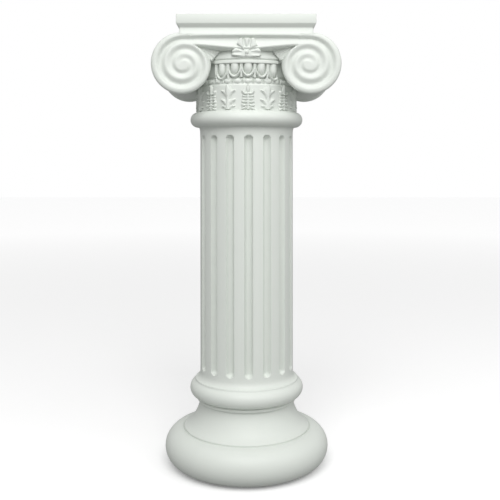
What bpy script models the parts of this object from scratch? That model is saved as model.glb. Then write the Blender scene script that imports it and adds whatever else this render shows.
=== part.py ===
"""Cast Ionic column ornament: moulded base, fluted shaft and scroll capital in one solid.

The front faces -Y, +Z is up and the origin is the centre of the underside. Lengths are in metres.
"""

import math

import bmesh
import bpy
from mathutils import Matrix, Vector

# Base mouldings, from the underside up
LOWER_TORUS_HEIGHT = 0.0209
LOWER_TORUS_RADIUS = 0.0457
LOWER_TORUS_TOP_ANGLE = 84.0
SCOTIA_HEIGHT = 0.0151
SCOTIA_FOOT_RADIUS = 0.0350
SCOTIA_TOP_RADIUS = 0.0260
BASE_FILLET_HEIGHT = 0.0024
BASE_FILLET_RADIUS = 0.0273
UPPER_TORUS_HEIGHT = 0.0100
UPPER_TORUS_RADIUS = 0.0315
UPPER_TORUS_TOP_ANGLE = 65.0
TORUS_FOOT_ANGLE = -80.0

# Shaft and its flutes
SHAFT_HEIGHT = 0.1380
SHAFT_FOOT_RADIUS = 0.0259
SHAFT_HEAD_RADIUS = 0.0250
FOOT_FLARE = 0.0028
FOOT_FLARE_HEIGHT = 0.0042
HEAD_FLARE = 0.0008
HEAD_FLARE_HEIGHT = 0.0030
FLUTE_COUNT = 16
FLUTE_WIDTH = 0.0052
FLUTE_DEPTH = 0.0021
FLUTE_FOOT_MARGIN = 0.0062
FLUTE_HEAD_MARGIN = 0.0047
FLUTE_TURN = math.radians(2.8)
CARVING_TURN = math.radians(2.0)

# Neck ring, leaf band, bead band and echinus
NECK_RING_HEIGHT = 0.0078
NECK_RING_RADIUS = 0.0301
NECK_RING_TOP_ANGLE = 75.0
LEAF_BAND_HEIGHT = 0.0131
LEAF_BAND_RADIUS = 0.0263
LEAF_PAIR_COUNT = 8
LEAF_PROUD = 0.0009
STEM_WIDTH = 0.0013
FERN_LEAFLET_PAIRS = 4
FERN_WIDTH = 0.0054
FERN_TIP_START = 0.80
FERN_TIP_WIDTH = 0.00208
FERN_TIP_SHOULDER = 0.30
LEAFLET_START = 0.10
LEAFLET_END = 0.65
SPEAR_LEAF_PAIRS = 3
SPEAR_WIDTH = 0.0074
SPEAR_HEAD_WIDTH = 0.0022
SPEAR_HEAD_START = 0.76
SPEAR_HEAD_SHOULDER = 0.25
SPEAR_LEAF_TIP = 0.70
SPEAR_LEAF_FORK = 0.62
BEAD_BAND_HEIGHT = 0.0030
BEAD_BAND_RADIUS = 0.0257
BEAD_COUNT = 30
BEAD_LENGTH = 0.0040
BEAD_PROUD = 0.0008
EGG_BAND_HEIGHT = 0.0069
EGG_BAND_RADIUS = 0.0257
EGG_COUNT = 24
EGG_WIDTH = 0.0038
EGG_PROUD = 0.0016
EGG_TO_SHELL_HEIGHT = 0.8
SHELL_WIDTH = 0.0060
SHELL_PROUD = 0.0007
DART_WIDTH = 0.0011
DART_TIP_WIDTH = 0.00066
ECHINUS_FILLET_HEIGHT = 0.0019
ECHINUS_FILLET_RADIUS = 0.0273
ECHINUS_CAP_RADIUS = 0.0267
ECHINUS_TOP_RADIUS = 0.0248

# Scroll member: two bolsters joined by a sunk channel, with a roll round each face
CAPITAL_DEPTH = 0.0570
VOLUTE_RADIUS = 0.01495
VOLUTE_OFFSET = 0.0327
VOLUTE_LIFT = 0.0067
BOLSTER_WAIST = 0.0127
BOLSTER_RIM = 0.0035
ROLL_PROUD = 0.0016
ROLL_RADIUS = 0.0020
RIM_ROLL_RADIUS = 0.0015
INNER_ROLL_RADIUS = 0.0015
SPIRAL_SHIFT_IN = 0.0012
SPIRAL_SHIFT_DOWN = 0.0006
SPIRAL_PITCH = 0.0044
SPIRAL_TURNS = 2.3
EYE_RADIUS = 0.0031
LIP_ROLL_RADIUS = 0.0011
LIP_SETBACK = 0.0005
LIP_LIFT = 0.0076
LIP_RISE = 0.0021
LIP_LEVEL_INSET = 0.0049

# Flower on the channel and the leaf fans beside the volutes
FLOWER_LIFT = 0.0054
FLOWER_HUB_RADIUS = 0.0012
PETAL_THICKNESS = 0.0018
PETAL_LENGTH = 0.0069
PETAL_ROOT_WIDTH = 0.00074
PETAL_WIDTH = 0.0037
PETAL_COUNT = 5
PETAL_SPREAD = math.radians(80.0)
FAN_RIB_COUNT = 3
FAN_RIB_LENGTH = 0.0095
FAN_RIB_ROOT_WIDTH = 0.0011
FAN_RIB_WIDTH = 0.0022
FAN_RIB_THICKNESS = 0.0035
FAN_ROOT_OVERLAP = 0.0067
FAN_INWARD = math.radians(24.0)
FAN_FIRST_LEAN = math.radians(108.0)
FAN_SPREAD = math.radians(34.0)

# Abacus
ABACUS_NECK_HEIGHT = 0.0024
ABACUS_BEVEL_HEIGHT = 0.0018
ABACUS_SLAB_HEIGHT = 0.0046
ABACUS_WIDTH = 0.0694
ABACUS_DEPTH = 0.0590
ABACUS_BEVEL_INSET = 0.0013

# How far joined pieces reach into each other, and how finely round pieces are faceted
BITE = 0.0010
TURNED_STEPS = 32
TORUS_STEPS = 4
LOWER_TORUS_STEPS = 7
SCOTIA_STEPS = 3
FLARE_STEPS = 2
LIP_STEPS = 5
BARREL_STEPS = 4
BOLSTER_STEPS = 22
SPIRAL_POINTS_PER_TURN = 11
WELD_DISTANCE = 0.00001

# Heights of the joints between mouldings, stacked from the underside
SCOTIA_Z = LOWER_TORUS_HEIGHT
BASE_FILLET_Z = SCOTIA_Z + SCOTIA_HEIGHT
UPPER_TORUS_Z = BASE_FILLET_Z + BASE_FILLET_HEIGHT
SHAFT_Z = UPPER_TORUS_Z + UPPER_TORUS_HEIGHT
NECK_RING_Z = SHAFT_Z + SHAFT_HEIGHT
LEAF_BAND_Z = NECK_RING_Z + NECK_RING_HEIGHT
BEAD_BAND_Z = LEAF_BAND_Z + LEAF_BAND_HEIGHT
EGG_BAND_Z = BEAD_BAND_Z + BEAD_BAND_HEIGHT
ECHINUS_FILLET_Z = EGG_BAND_Z + EGG_BAND_HEIGHT
ECHINUS_CAP_Z = ECHINUS_FILLET_Z + ECHINUS_FILLET_HEIGHT
VOLUTE_Z = EGG_BAND_Z + VOLUTE_LIFT
SCROLL_TOP_Z = VOLUTE_Z + VOLUTE_RADIUS
FACE_Y = CAPITAL_DEPTH / 2 - ROLL_PROUD


def remove_everything():
    """Empties the scene."""
    for thing in list(bpy.data.objects):
        bpy.data.objects.remove(thing, do_unlink=True)


def new_collection(name):
    """Returns a new collection in the scene."""
    collection = bpy.data.collections.new(name)
    bpy.context.scene.collection.children.link(collection)
    return collection


def cast_stone():
    """The one material: pale cast alabaster with a faint cool tint."""
    material = bpy.data.materials.new("cast_alabaster")
    material.use_nodes = True
    shader = material.node_tree.nodes["Principled BSDF"]
    shader.inputs["Base Color"].default_value = (0.80, 0.83, 0.80, 1.0)
    shader.inputs["Roughness"].default_value = 0.5
    shader.inputs["Metallic"].default_value = 0.0
    return material


def add_mesh(name, bm, collection):
    """Makes an object of a bmesh, which is freed, with its round stretches shaded smooth."""
    mesh = bpy.data.meshes.new(name)
    bm.to_mesh(mesh)
    bm.free()
    mesh.shade_smooth()
    mesh.set_sharp_from_angle(angle=math.radians(35.0))
    thing = bpy.data.objects.new(name, mesh)
    collection.objects.link(thing)
    return thing


def add_guide(name, bm, collection):
    """Makes an object that only cuts or joins, so it is drawn as a wire and isn't rendered."""
    guide = add_mesh(name, bm, collection)
    guide.hide_render = True
    guide.display_type = "WIRE"
    return guide


def turn_outline(thing, steps):
    """Turns an object's outline about its own Z axis."""
    turn = thing.modifiers.new("Turn", "SCREW")
    turn.axis = "Z"
    turn.steps = steps
    turn.render_steps = steps
    turn.use_merge_vertices = True
    turn.merge_threshold = WELD_DISTANCE
    turn.use_smooth_shade = True


def outline_mesh(outline):
    """A bmesh of one open line through points (radius, height)."""
    bm = bmesh.new()
    verts = [bm.verts.new((radius, 0.0, height)) for radius, height in outline]
    for upper, lower in zip(verts, verts[1:]):
        bm.edges.new((upper, lower))
    return bm


def arc(centre, radii, start, end, steps):
    """Points (radius, height) along an elliptical arc; angles in degrees, from straight out upwards."""
    points = []
    for step in range(steps + 1):
        angle = math.radians(start + (end - start) * step / steps)
        points.append((centre[0] + radii[0] * math.cos(angle), centre[1] + radii[1] * math.sin(angle)))
    return points


def half_round(outer_radius, foot_z, height, top_angle, foot_angle, steps):
    """The outer side of a torus moulding, from its top down."""
    bulge = height / 2
    return arc((outer_radius - bulge, foot_z + bulge), (bulge, bulge), top_angle, foot_angle, steps)


def hollow(top_radius, top_z, foot_radius, foot_z, steps):
    """A hollow curve that starts upright at its top and sweeps out to its foot."""
    reach = foot_radius - top_radius
    return arc((foot_radius, top_z), (-reach, foot_z - top_z), 0.0, 90.0, steps)


def column_outline():
    """The turned outline from the axis inside the capital down to the axis at the underside."""
    shaft_head_z = NECK_RING_Z - HEAD_FLARE_HEIGHT
    shaft_foot_z = SHAFT_Z + FOOT_FLARE_HEIGHT
    fillet_round = ECHINUS_FILLET_HEIGHT / 4
    inner_top_z = SCROLL_TOP_Z - BITE
    outline = [(0.0, inner_top_z), (ECHINUS_TOP_RADIUS, inner_top_z)]
    outline += [(ECHINUS_TOP_RADIUS, VOLUTE_Z + LIP_LIFT), (ECHINUS_CAP_RADIUS, ECHINUS_CAP_Z)]
    outline += [
        (ECHINUS_FILLET_RADIUS, ECHINUS_CAP_Z - fillet_round),
        (ECHINUS_FILLET_RADIUS, ECHINUS_FILLET_Z + fillet_round),
        (EGG_BAND_RADIUS, ECHINUS_FILLET_Z),
        (EGG_BAND_RADIUS, EGG_BAND_Z),
        (BEAD_BAND_RADIUS, BEAD_BAND_Z),
        (LEAF_BAND_RADIUS, BEAD_BAND_Z - BITE / 2),
        (LEAF_BAND_RADIUS, LEAF_BAND_Z),
    ]
    outline += half_round(
        NECK_RING_RADIUS,
        NECK_RING_Z,
        NECK_RING_HEIGHT,
        NECK_RING_TOP_ANGLE,
        TORUS_FOOT_ANGLE,
        TORUS_STEPS,
    )
    outline += [
        (SHAFT_HEAD_RADIUS + HEAD_FLARE, NECK_RING_Z),
        (SHAFT_HEAD_RADIUS, shaft_head_z),
    ]
    flare_radius = SHAFT_FOOT_RADIUS + FOOT_FLARE
    outline += hollow(SHAFT_FOOT_RADIUS, shaft_foot_z, flare_radius, SHAFT_Z, FLARE_STEPS)
    outline += half_round(
        UPPER_TORUS_RADIUS,
        UPPER_TORUS_Z,
        UPPER_TORUS_HEIGHT,
        UPPER_TORUS_TOP_ANGLE,
        TORUS_FOOT_ANGLE,
        TORUS_STEPS,
    )
    outline += [(BASE_FILLET_RADIUS, UPPER_TORUS_Z), (BASE_FILLET_RADIUS, BASE_FILLET_Z)]
    outline += hollow(SCOTIA_TOP_RADIUS, BASE_FILLET_Z, SCOTIA_FOOT_RADIUS, SCOTIA_Z, SCOTIA_STEPS)
    outline += half_round(
        LOWER_TORUS_RADIUS,
        0.0,
        LOWER_TORUS_HEIGHT,
        LOWER_TORUS_TOP_ANGLE,
        -90.0,
        LOWER_TORUS_STEPS,
    )
    outline += [(0.0, 0.0)]
    return outline


def round_the_axis(count, turn=CARVING_TURN):
    """The angles of a pattern repeated evenly about the column's axis."""
    return [turn + step * math.tau / count for step in range(count)]


def on_drum(angle, radius, height):
    """Local axes on a drum at an angle from the front: X to the right, -Y outwards and Z up."""
    return Matrix.Rotation(angle, 4, "Z") @ Matrix.Translation((0.0, -radius, height))


def on_faces():
    """The turns about the column's axis that bring a piece made for the front to each face."""
    return [Matrix.Rotation(turn, 4, "Z") for turn in (0.0, math.pi)]


def stretched(x, y, z):
    """A matrix that stretches by a factor along each axis."""
    return Matrix.Diagonal((x, y, z, 1.0))


def leaning(angle):
    """A turn about the local Y axis, which leans +Z towards +X."""
    return Matrix.Rotation(angle, 4, "Y")


def lump(bm, place, half_lengths, around=6, rings=4):
    """Adds an ellipsoid."""
    sized = place @ stretched(*half_lengths)
    bmesh.ops.create_uvsphere(bm, u_segments=around, v_segments=rings, radius=1.0, matrix=sized)


def blade(bm, place, length, root, tip, thickness):
    """Adds a four-sided blade that grows along local +Z from a root width to a tip width, in X."""
    flat = stretched(1.0, thickness / max(root, tip), 1.0)
    upright = Matrix.Translation((0.0, 0.0, length / 2))
    bmesh.ops.create_cone(
        bm,
        cap_ends=True,
        segments=4,
        radius1=root / 2,
        radius2=tip / 2,
        depth=length,
        matrix=place @ flat @ upright,
    )


def curve_mesh(data, place):
    """The closed mesh that a curve makes, as a bmesh with its caps welded, moved to its place."""
    guide = bpy.data.objects.new("curve_guide", data)
    bpy.context.scene.collection.objects.link(guide)
    bpy.context.view_layer.update()
    mesh = bpy.data.meshes.new_from_object(guide.evaluated_get(bpy.context.evaluated_depsgraph_get()))
    bpy.data.objects.remove(guide, do_unlink=True)
    bm = bmesh.new()
    bm.from_mesh(mesh)
    bpy.data.meshes.remove(mesh)
    bmesh.ops.remove_doubles(bm, verts=bm.verts, dist=WELD_DISTANCE)
    bmesh.ops.recalc_face_normals(bm, faces=bm.faces)
    bmesh.ops.transform(bm, matrix=place, verts=bm.verts)
    return bm


def flat_plate(outline, half_thickness, place):
    """A plate with a flat outline (x, z), its thickness along local Y, as a bmesh."""
    data = bpy.data.curves.new("plate", "CURVE")
    data.dimensions = "2D"
    data.fill_mode = "BOTH"
    data.extrude = half_thickness
    spline = data.splines.new("POLY")
    spline.points.add(len(outline) - 1)
    for point, (x, z) in zip(spline.points, outline):
        point.co = (x, z, 0.0, 1.0)
    spline.use_cyclic_u = True
    upright = Matrix.Rotation(math.pi / 2, 4, "X")
    return curve_mesh(data, place @ upright)


def append_mesh(bm, other):
    """Adds the faces of another bmesh, which is freed."""
    mesh = bpy.data.meshes.new("appended")
    other.to_mesh(mesh)
    other.free()
    bm.from_mesh(mesh)
    bpy.data.meshes.remove(mesh)


def flute_cutters(collection):
    """One long capsule for each flute, leaning with the shaft's taper, in one cutter."""
    bore = (FLUTE_WIDTH**2 / 4 + FLUTE_DEPTH**2) / (2 * FLUTE_DEPTH)
    end_reach = math.sqrt(bore**2 - (bore - FLUTE_DEPTH) ** 2)
    foot = SHAFT_Z + FLUTE_FOOT_MARGIN + end_reach
    head = NECK_RING_Z - FLUTE_HEAD_MARGIN - end_reach
    middle = (foot + head) / 2
    taper = (SHAFT_FOOT_RADIUS - SHAFT_HEAD_RADIUS) / SHAFT_HEIGHT
    shaft_radius = SHAFT_FOOT_RADIUS - taper * (middle - SHAFT_Z)
    lean = Matrix.Rotation(-math.atan(taper), 4, "X")
    bm = bmesh.new()
    for angle in round_the_axis(FLUTE_COUNT, FLUTE_TURN):
        place = on_drum(angle, shaft_radius - FLUTE_DEPTH + bore, middle) @ lean
        made = bmesh.ops.create_uvsphere(bm, u_segments=8, v_segments=4, radius=bore, matrix=Matrix())
        for vert in made["verts"]:
            if abs(vert.co.z) > WELD_DISTANCE:
                vert.co.z += math.copysign((head - foot) / 2, vert.co.z)
            vert.co = place @ vert.co
    return add_guide("flute_cutters", bm, collection)


def mirrored_outline(right_side):
    """A closed outline from the points of its right side, given from its foot to its tip on the axis."""
    left_side = [(-x, z) for x, z in reversed(right_side) if x > WELD_DISTANCE]
    return right_side + left_side


def fern_outline():
    """A fern frond's outline: a stem with blunt leaflets in pairs and a pointed tip."""
    stem = STEM_WIDTH / 2
    leaflet = FERN_WIDTH / 2
    tip_foot = LEAF_BAND_HEIGHT * FERN_TIP_START
    pitch = tip_foot / FERN_LEAFLET_PAIRS
    right_side = [(stem, -BITE)]
    for pair in range(FERN_LEAFLET_PAIRS):
        foot = pitch * pair
        right_side += [(stem, foot + pitch * LEAFLET_START), (leaflet, foot + pitch * LEAFLET_END)]
    shoulder = (FERN_TIP_WIDTH / 2, tip_foot + pitch * FERN_TIP_SHOULDER)
    right_side += [(stem, tip_foot), shoulder, (0.0, LEAF_BAND_HEIGHT)]
    return mirrored_outline(right_side)


def spear_outline():
    """A stalk's outline: pointed leaves in pairs that curve out and up, and a spear head."""
    stem = STEM_WIDTH / 2
    leaf = SPEAR_WIDTH / 2
    head_foot = LEAF_BAND_HEIGHT * SPEAR_HEAD_START
    pitch = head_foot / SPEAR_LEAF_PAIRS
    right_side = [(stem, -BITE)]
    for pair in range(SPEAR_LEAF_PAIRS):
        foot = pitch * pair
        right_side += [(leaf, foot + pitch * SPEAR_LEAF_TIP), (stem, foot + pitch * SPEAR_LEAF_FORK)]
    shoulder = (SPEAR_HEAD_WIDTH / 2, head_foot + pitch * SPEAR_HEAD_SHOULDER)
    right_side += [shoulder, (0.0, LEAF_BAND_HEIGHT)]
    return mirrored_outline(right_side)


def leaf_band(collection):
    """Ferns and spears by turns round the necking, each a plate half sunk in the drum."""
    bm = bmesh.new()
    half_pitch = math.pi / LEAF_PAIR_COUNT
    for outline, turn in ((fern_outline(), 0.0), (spear_outline(), half_pitch)):
        for angle in round_the_axis(LEAF_PAIR_COUNT, CARVING_TURN + turn):
            plate = flat_plate(outline, LEAF_PROUD, on_drum(angle, LEAF_BAND_RADIUS, LEAF_BAND_Z))
            append_mesh(bm, plate)
    return add_guide("leaf_band", bm, collection)


def clear_of_bolsters(angle, radius, height, width):
    """Whether a carving of some width on a drum lies wholly in the gap between the two bolsters."""
    drop = min(abs(VOLUTE_Z - height), VOLUTE_RADIUS)
    inner_reach = VOLUTE_OFFSET - math.sqrt(VOLUTE_RADIUS**2 - drop**2)
    return radius * abs(math.sin(angle)) + width / 2 < inner_reach


def bead_band(collection):
    """The row of long beads under the eggs."""
    bm = bmesh.new()
    middle = BEAD_BAND_Z + BEAD_BAND_HEIGHT / 2
    for angle in round_the_axis(BEAD_COUNT):
        if clear_of_bolsters(angle, BEAD_BAND_RADIUS, middle, BEAD_LENGTH):
            place = on_drum(angle, BEAD_BAND_RADIUS, middle)
            lump(bm, place, (BEAD_LENGTH / 2, BEAD_PROUD, BEAD_BAND_HEIGHT / 2), around=4, rings=3)
    return add_guide("bead_band", bm, collection)


def egg_band(collection):
    """Eggs in their shells with darts between, hanging from the echinus fillet."""
    bm = bmesh.new()
    half_height = EGG_BAND_HEIGHT / 2 + BITE / 2
    middle = ECHINUS_FILLET_Z - half_height + BITE
    half_pitch = math.pi / EGG_COUNT
    for angle in round_the_axis(EGG_COUNT):
        if clear_of_bolsters(angle, EGG_BAND_RADIUS, middle, SHELL_WIDTH):
            place = on_drum(angle, EGG_BAND_RADIUS, middle)
            lump(bm, place, (SHELL_WIDTH / 2, SHELL_PROUD, half_height), around=4, rings=3)
            lump(bm, place, (EGG_WIDTH / 2, EGG_PROUD, half_height * EGG_TO_SHELL_HEIGHT))
        if clear_of_bolsters(angle + half_pitch, EGG_BAND_RADIUS, middle, DART_WIDTH):
            dart_top = on_drum(angle + half_pitch, EGG_BAND_RADIUS, ECHINUS_FILLET_Z + BITE / 2)
            downwards = dart_top @ leaning(math.pi)
            blade(bm, downwards, EGG_BAND_HEIGHT, DART_WIDTH, DART_TIP_WIDTH, 2 * SHELL_PROUD)
    return add_guide("egg_band", bm, collection)


def spiral_point(turns):
    """(x, z) of the right volute's roll, a number of turns from its top, clockwise from the front."""
    start_radius = VOLUTE_RADIUS + SPIRAL_SHIFT_DOWN - RIM_ROLL_RADIUS
    radius = start_radius - SPIRAL_PITCH * turns
    centre_x = VOLUTE_OFFSET - SPIRAL_SHIFT_IN
    centre_z = VOLUTE_Z - SPIRAL_SHIFT_DOWN
    angle = turns * math.tau
    return centre_x + radius * math.sin(angle), centre_z + radius * math.cos(angle)


def roll_size(turns):
    """The roll's radius: slim along the top rim, full at the volute's side and slimmer at the eye."""
    swelling = min(turns * 4, 1.0)
    fading = max(turns - 0.25, 0.0) / (SPIRAL_TURNS - 0.25)
    full = RIM_ROLL_RADIUS + (ROLL_RADIUS - RIM_ROLL_RADIUS) * swelling
    return full + (INNER_ROLL_RADIUS - ROLL_RADIUS) * fading


def roll_route():
    """(x, z, roll radius) along the whole roll: left eye, left volute, top rim, right volute, right eye."""
    steps = round(SPIRAL_TURNS * SPIRAL_POINTS_PER_TURN)
    right = []
    for step in range(steps + 1):
        turns = SPIRAL_TURNS * step / steps
        right.append((*spiral_point(turns), roll_size(turns)))
    left = [(-x, z, roll) for x, z, roll in reversed(right)]
    return left + right


def lip_height(x):
    """Height of the channel's lower lip, which sags to the middle and runs level into the volutes."""
    share = min(abs(x) / (VOLUTE_OFFSET - LIP_LEVEL_INSET), 1.0)
    return VOLUTE_Z + LIP_LIFT + LIP_RISE * math.sin(share * math.pi / 2) ** 2


def lip_route():
    """(x, z, roll radius) along the channel's lower lip."""
    reach = VOLUTE_OFFSET - SPIRAL_SHIFT_IN
    route = []
    for step in range(-LIP_STEPS, LIP_STEPS + 1):
        x = reach * step / LIP_STEPS
        route.append((x, lip_height(x), LIP_ROLL_RADIUS))
    return route


def face_roll(name, route, setback, rounding, collection):
    """A round roll along a route on the front of the capital, and its twin on the back."""
    for number, turned in enumerate(on_faces()):
        data = bpy.data.curves.new(name, "CURVE")
        data.dimensions = "3D"
        data.bevel_depth = 1.0
        data.bevel_resolution = rounding
        data.use_fill_caps = True
        spline = data.splines.new("POLY")
        spline.points.add(len(route) - 1)
        for point, (x, z, roll) in zip(spline.points, route):
            point.co = (x, setback + roll - CAPITAL_DEPTH / 2, z, 1.0)
            point.radius = roll
        add_guide(f"{name}_{number}", curve_mesh(data, turned), collection)


def channel(collection):
    """The block between the bolsters, its underside following the sagging lip."""
    outline = [(x, z) for x, z, _ in lip_route()]
    reach = outline[-1][0]
    top = SCROLL_TOP_Z - RIM_ROLL_RADIUS / 4
    outline += [(reach, top), (-reach, top)]
    return add_guide("channel", flat_plate(outline, FACE_Y, Matrix()), collection)


def bolster(name, x, collection):
    """One bolster, turned about an axis along Y: full discs at the faces and a waist between them."""
    waist_y = FACE_Y - BOLSTER_RIM
    edge = (VOLUTE_RADIUS - ROLL_PROUD / 4, FACE_Y)
    outline = [(0.0, FACE_Y), edge, (VOLUTE_RADIUS, FACE_Y - ROLL_PROUD)]
    for step in range(BARREL_STEPS + 1):
        along = 1 - 2 * step / BARREL_STEPS
        sink = (VOLUTE_RADIUS - BOLSTER_WAIST) * (1 - along**2)
        outline.append((VOLUTE_RADIUS - sink, waist_y * along))
    outline += [(VOLUTE_RADIUS, ROLL_PROUD - FACE_Y), (edge[0], -FACE_Y), (0.0, -FACE_Y)]
    roll = add_guide(name, outline_mesh(outline), collection)
    turn_outline(roll, BOLSTER_STEPS)
    roll.location = (x, 0.0, VOLUTE_Z)
    roll.rotation_euler = (-math.pi / 2, 0.0, 0.0)


def eyes(collection):
    """The round ends of the four spirals."""
    bm = bmesh.new()
    for turned in on_faces():
        for side in (-1.0, 1.0):
            centre = (side * (VOLUTE_OFFSET - SPIRAL_SHIFT_IN), -FACE_Y, VOLUTE_Z - SPIRAL_SHIFT_DOWN)
            place = turned @ Matrix.Translation(centre)
            lump(bm, place, (EYE_RADIUS, ROLL_PROUD, EYE_RADIUS))
    return add_guide("eyes", bm, collection)


def flowers(collection):
    """A flower over the channel's lip on each face: a hub with a fan of petals."""
    bm = bmesh.new()
    plane_y = (PETAL_THICKNESS - CAPITAL_DEPTH) / 2
    for turned in on_faces():
        hub = turned @ Matrix.Translation((0.0, plane_y, VOLUTE_Z + FLOWER_LIFT))
        lump(bm, hub, (FLOWER_HUB_RADIUS, PETAL_THICKNESS / 2, FLOWER_HUB_RADIUS))
        for petal in range(PETAL_COUNT):
            lean = PETAL_SPREAD * (2 * petal / (PETAL_COUNT - 1) - 1)
            place = hub @ leaning(lean)
            blade(bm, place, PETAL_LENGTH, PETAL_ROOT_WIDTH, PETAL_WIDTH, PETAL_THICKNESS)
    return add_guide("flowers", bm, collection)


def corner_fans(collection):
    """Ribbed leaves that fill the corners between the channel's lip, the volutes and the echinus."""
    bm = bmesh.new()
    root_x = VOLUTE_OFFSET - VOLUTE_RADIUS + FAN_ROOT_OVERLAP
    root = Vector((root_x, -ECHINUS_TOP_RADIUS, lip_height(root_x) - LIP_ROLL_RADIUS / 2))
    inward = Matrix.Rotation(FAN_INWARD, 4, "Z")
    for turned in on_faces():
        for side in (-1.0, 1.0):
            mirrored = turned @ stretched(side, 1.0, 1.0) @ Matrix.Translation(root) @ inward
            for rib in range(FAN_RIB_COUNT):
                lean = -FAN_FIRST_LEAN - FAN_SPREAD * rib / (FAN_RIB_COUNT - 1)
                blade(
                    bm,
                    mirrored @ leaning(lean),
                    FAN_RIB_LENGTH,
                    FAN_RIB_ROOT_WIDTH,
                    FAN_RIB_WIDTH,
                    FAN_RIB_THICKNESS,
                )
    bmesh.ops.recalc_face_normals(bm, faces=bm.faces)
    return add_guide("corner_fans", bm, collection)


def abacus(collection):
    """The abacus: a seat down to the bolsters' waists, a narrower neck, a bevel and the slab on top."""
    bevel_z = SCROLL_TOP_Z + ABACUS_NECK_HEIGHT
    slab_z = bevel_z + ABACUS_BEVEL_HEIGHT
    top_z = slab_z + ABACUS_SLAB_HEIGHT
    neck_width = ABACUS_WIDTH - 2 * ABACUS_BEVEL_INSET
    neck_depth = ABACUS_DEPTH - 2 * ABACUS_BEVEL_INSET
    bm = bmesh.new()
    bmesh.ops.create_cube(bm, size=1.0)
    for vert in bm.verts:
        upper = vert.co.z > 0
        vert.co = (vert.co.x * neck_width, vert.co.y * neck_depth, bevel_z if upper else SCROLL_TOP_Z - BITE)
    for height in (slab_z, top_z):
        top = max(bm.faces, key=lambda face: face.calc_center_median().z)
        raised = bmesh.ops.extrude_discrete_faces(bm, faces=[top])["faces"][0]
        for vert in raised.verts:
            half_width = math.copysign(ABACUS_WIDTH / 2, vert.co.x)
            half_depth = math.copysign(ABACUS_DEPTH / 2, vert.co.y)
            vert.co = (half_width, half_depth, height)
    seat_foot_z = VOLUTE_Z + BOLSTER_WAIST - 2 * BITE
    seat_size = (neck_width - BITE, 2 * (FACE_Y - BITE), SCROLL_TOP_Z - seat_foot_z)
    seat_middle = Matrix.Translation((0.0, 0.0, (SCROLL_TOP_Z + seat_foot_z) / 2))
    bmesh.ops.create_cube(bm, size=1.0, matrix=seat_middle @ stretched(*seat_size))
    return add_guide("abacus", bm, collection)


def capital(collection):
    """Everything that is joined to the turned column, each piece a closed mesh of its own."""
    leaf_band(collection)
    bead_band(collection)
    egg_band(collection)
    for name, x in (("bolster_left", -VOLUTE_OFFSET), ("bolster_right", VOLUTE_OFFSET)):
        bolster(name, x, collection)
    channel(collection)
    face_roll("scroll_roll", roll_route(), 0.0, 1, collection)
    face_roll("lip_roll", lip_route(), LIP_SETBACK, 0, collection)
    eyes(collection)
    flowers(collection)
    corner_fans(collection)
    abacus(collection)


def join_and_cut(column, joined, cutter):
    """Cuts the flutes from the column, then joins the capital's pieces to it."""
    flutes = column.modifiers.new("Flutes", "BOOLEAN")
    flutes.operation = "DIFFERENCE"
    flutes.solver = "EXACT"
    flutes.object = cutter
    carving = column.modifiers.new("Capital", "BOOLEAN")
    carving.operation = "UNION"
    carving.solver = "EXACT"
    carving.operand_type = "COLLECTION"
    carving.collection = joined
    carving.use_self = True


def main():
    """Builds the column."""
    remove_everything()
    part = new_collection("ionic_column")
    joined = new_collection("capital_pieces")
    cutters = new_collection("cutters")
    column = add_mesh("ionic_column", outline_mesh(column_outline()), part)
    turn_outline(column, TURNED_STEPS)
    column.rotation_euler.z = CARVING_TURN + math.pi / TURNED_STEPS
    column.data.materials.append(cast_stone())
    capital(joined)
    join_and_cut(column, joined, flute_cutters(cutters))


main()
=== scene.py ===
"""Cast Ionic column ornament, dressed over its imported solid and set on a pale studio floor.

The front faces -Y and +Z is up. Sizes of the casting are in millimetres and angles in degrees, and
they are turned into metres and radians where a mesh is written. The studio is given in metres.
"""

from __future__ import annotations

import logging
import math
from dataclasses import dataclass, field
from enum import Enum
from typing import Callable

import bpy
import numpy as np
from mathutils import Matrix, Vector

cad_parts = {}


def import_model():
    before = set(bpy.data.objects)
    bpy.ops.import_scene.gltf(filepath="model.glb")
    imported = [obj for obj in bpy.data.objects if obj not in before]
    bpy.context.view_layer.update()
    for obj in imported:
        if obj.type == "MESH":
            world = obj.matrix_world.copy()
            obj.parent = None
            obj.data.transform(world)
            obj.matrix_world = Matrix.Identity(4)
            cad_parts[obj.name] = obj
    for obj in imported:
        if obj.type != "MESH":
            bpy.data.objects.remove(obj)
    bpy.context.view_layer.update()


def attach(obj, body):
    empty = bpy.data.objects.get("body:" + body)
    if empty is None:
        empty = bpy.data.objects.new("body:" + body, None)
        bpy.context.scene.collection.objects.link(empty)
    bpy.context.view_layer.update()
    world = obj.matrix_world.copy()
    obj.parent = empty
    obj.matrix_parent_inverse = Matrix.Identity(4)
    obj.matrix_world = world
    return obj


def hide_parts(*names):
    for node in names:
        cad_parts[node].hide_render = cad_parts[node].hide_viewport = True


log = logging.getLogger("ionic_column")

MM = 0.001
SEAM_WELD = 0.002
LENGTH_WELD = 0.004
CAP_SLACK = 0.01
CAP_LEAST_SQUARE_METRES = 1e-4
LEVEL_NORMAL = 0.99
CARVING_TURN = 2.0


class Side(Enum):
    """The two ends of the capital, by the sign of their x."""

    LEFT = -1
    RIGHT = 1


class Axis(Enum):
    """The line that a turned piece is spun about."""

    UPRIGHT = (0.0, 0.0, 1.0)
    DEPTH = (0.0, 1.0, 0.0)


def start_clean() -> None:
    """Leaves edit mode and deselects everything."""
    active = bpy.context.view_layer.objects.active
    if active and active.mode != "OBJECT":
        bpy.ops.object.mode_set(mode="OBJECT")
    bpy.ops.object.select_all(action="DESELECT")


def pick(*pieces: bpy.types.Object) -> None:
    """Selects only these pieces and makes the last one active."""
    start_clean()
    for piece in pieces:
        piece.select_set(True)
    bpy.context.view_layer.objects.active = pieces[-1]


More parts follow.
